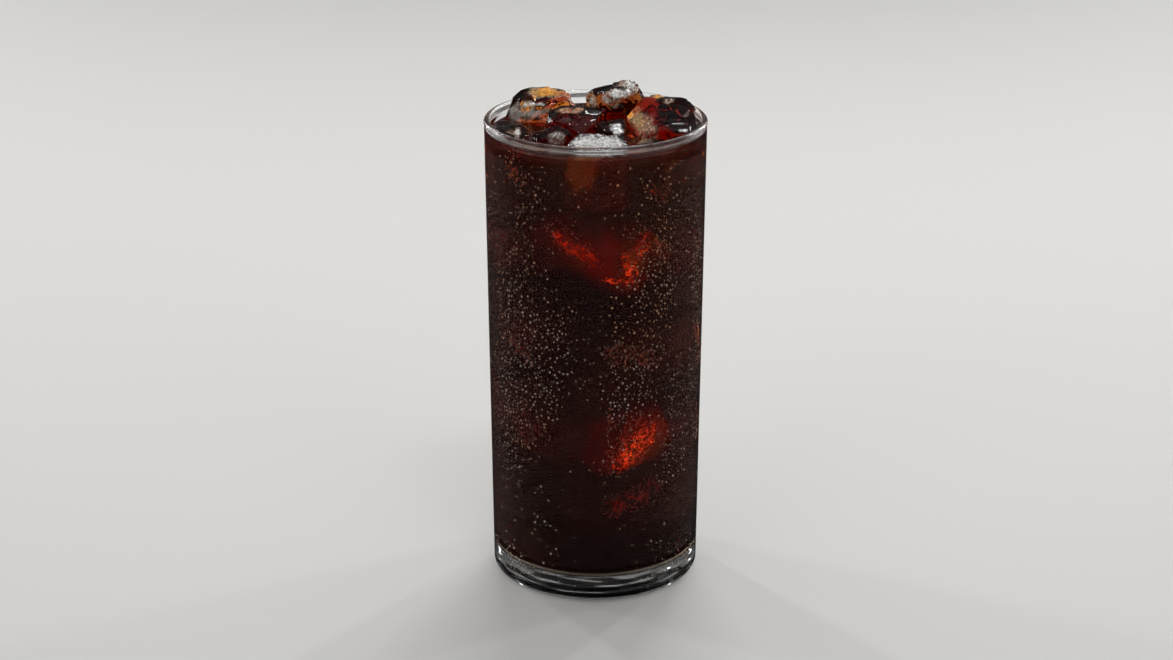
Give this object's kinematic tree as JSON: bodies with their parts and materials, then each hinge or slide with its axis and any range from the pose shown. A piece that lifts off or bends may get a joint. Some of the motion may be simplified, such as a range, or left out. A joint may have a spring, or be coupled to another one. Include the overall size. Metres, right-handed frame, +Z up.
{
  "type": "iced cold brew coffee in a tall glass",
  "caption": "Tall straight-sided tumbler with a heavy clear foot, full of dark iced coffee, with rough lumps of ice that stand out of the surface.",
  "frame": {"origin": "centre of the glass's foot, on the surface that it stands on", "axes": "+Z up along the glass's axis, -Y towards the viewer of the picture, +X to that viewer's right"},
  "size_m": [0.073, 0.073, 0.1658],
  "materials": {
    "clear_glass": "clear polished glass, misted outside with fine droplets",
    "cold_brew": "very dark red-brown liquid with a glossy surface",
    "ice": "wet clear ice with melted edges, cracks and cloudy cores"
  },
  "bodies": {
    "root": {"glass": "clear_glass", "coffee": "cold_brew", "ice_back_left": "ice", "ice_tall": "ice", "ice_middle": "ice", "ice_wedge": "ice", "ice_front": "ice", "ice_right": "ice", "ice_front_right": "ice", "ice_left": "ice", "ice_front_left": "ice"}
  },
  "joints": []
}
